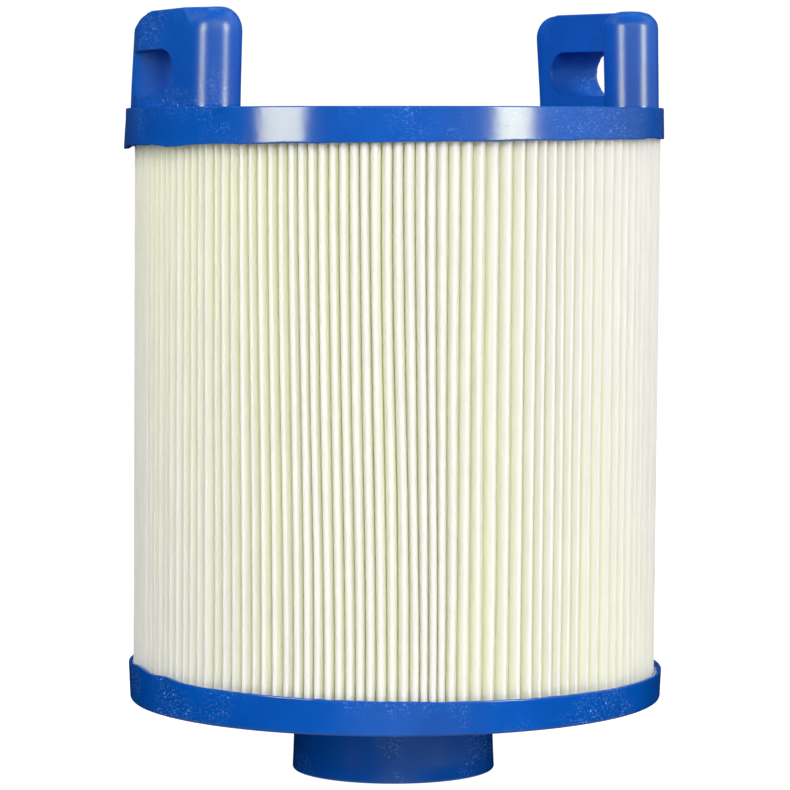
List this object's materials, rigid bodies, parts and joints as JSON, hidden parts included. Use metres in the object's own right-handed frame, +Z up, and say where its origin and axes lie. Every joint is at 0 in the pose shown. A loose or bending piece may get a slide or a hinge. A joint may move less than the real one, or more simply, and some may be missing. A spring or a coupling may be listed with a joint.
{
  "type": "filter cartridge",
  "caption": "Cylindrical pleated water-filter cartridge with moulded end caps, slotted ears on top and a slip-fit spigot below.",
  "frame": {"origin": "centre of the spigot's foot face, on the cartridge's axis", "axes": "+Z up along the cartridge's axis, from the spigot to the ears; the ears' plates are parallel to the YZ plane and their slots run along X"},
  "size_m": [0.151, 0.151, 0.214],
  "materials": {
    "cap_polyurethane": "smooth cast polyurethane, semi-gloss",
    "filter_fleece": "calendered spunbond polyester",
    "hot_melt": "cured hot-melt adhesive",
    "core_plastic": "moulded, satin"
  },
  "bodies": {
    "root": {"top_end_cap": "cap_polyurethane", "bottom_end_cap": "cap_polyurethane", "pleated_media": "filter_fleece", "seam_bead": "hot_melt", "core_lower": "core_plastic", "core_middle": "core_plastic", "core_upper": "core_plastic", "core_plug": "core_plastic", "spigot_liner": "core_plastic"}
  },
  "joints": []
}
